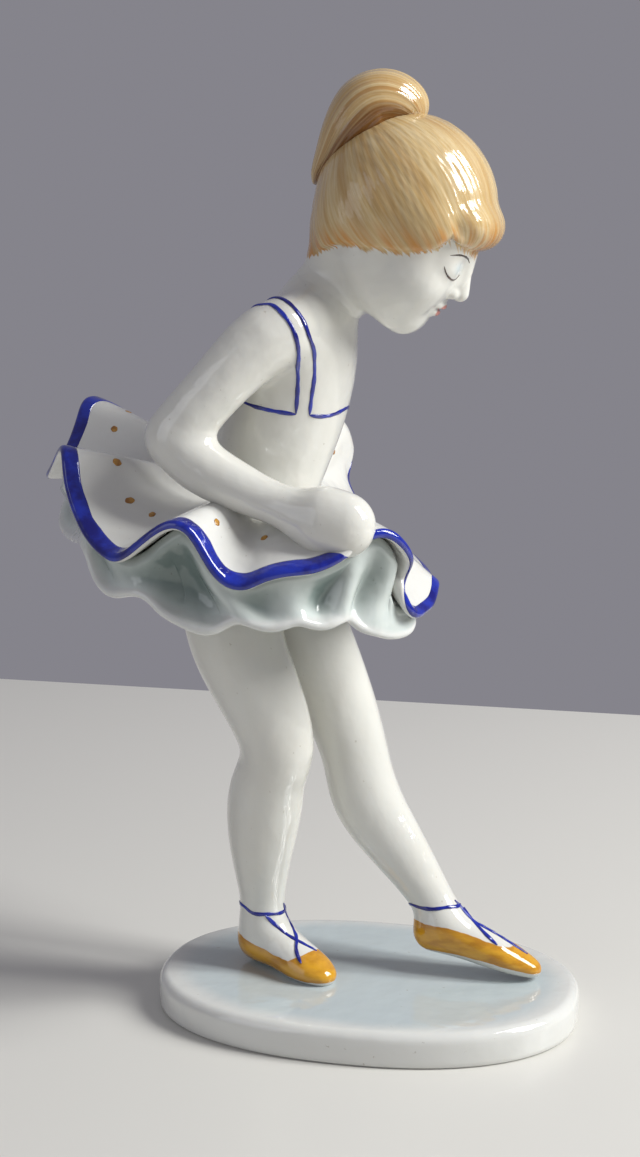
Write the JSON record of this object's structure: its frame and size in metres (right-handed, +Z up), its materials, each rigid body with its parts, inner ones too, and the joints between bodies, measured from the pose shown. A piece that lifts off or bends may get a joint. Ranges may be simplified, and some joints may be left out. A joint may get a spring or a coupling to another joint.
{
  "type": "porcelain figurine",
  "caption": "Glazed porcelain ballet dancer figurine in a ruffled skirt, standing on an oval plinth with one foot stretched forward.",
  "frame": {"origin": "centre of the plinth's underside, where the foot ring rests", "axes": "+Z up, +X the way the dancer faces and along the plinth's length, +Y to the dancer's left"},
  "size_m": [0.1191, 0.0797, 0.2008],
  "materials": {
    "plinth_glaze": "gloss glaze, thicker and blue-grey where it pools",
    "body_glaze": "gloss clear glaze over warm white porcelain",
    "skirt_glaze": "gloss clear glaze over white porcelain, painted in gold dots",
    "underskirt_glaze": "gloss glaze, grey-green where it pools in the folds",
    "hair_paint": "ochre ceramic paint brushed in strands under gloss glaze",
    "shoe_paint": "yellow-ochre ceramic enamel, gloss",
    "blue_paint": "cobalt blue ceramic enamel, gloss",
    "gold_paint": "gold-brown ceramic enamel dots",
    "face_paint": "fine brushed enamel for lips, lashes and brows"
  },
  "bodies": {
    "root": {"plinth": "plinth_glaze", "right_leg": "body_glaze", "left_leg": "body_glaze", "torso": "body_glaze", "head": "body_glaze", "topknot": "hair_paint", "right_arm": "body_glaze", "left_arm": "body_glaze", "upper_skirt_tier": "skirt_glaze", "lower_skirt_tier": "underskirt_glaze"}
  },
  "joints": []
}
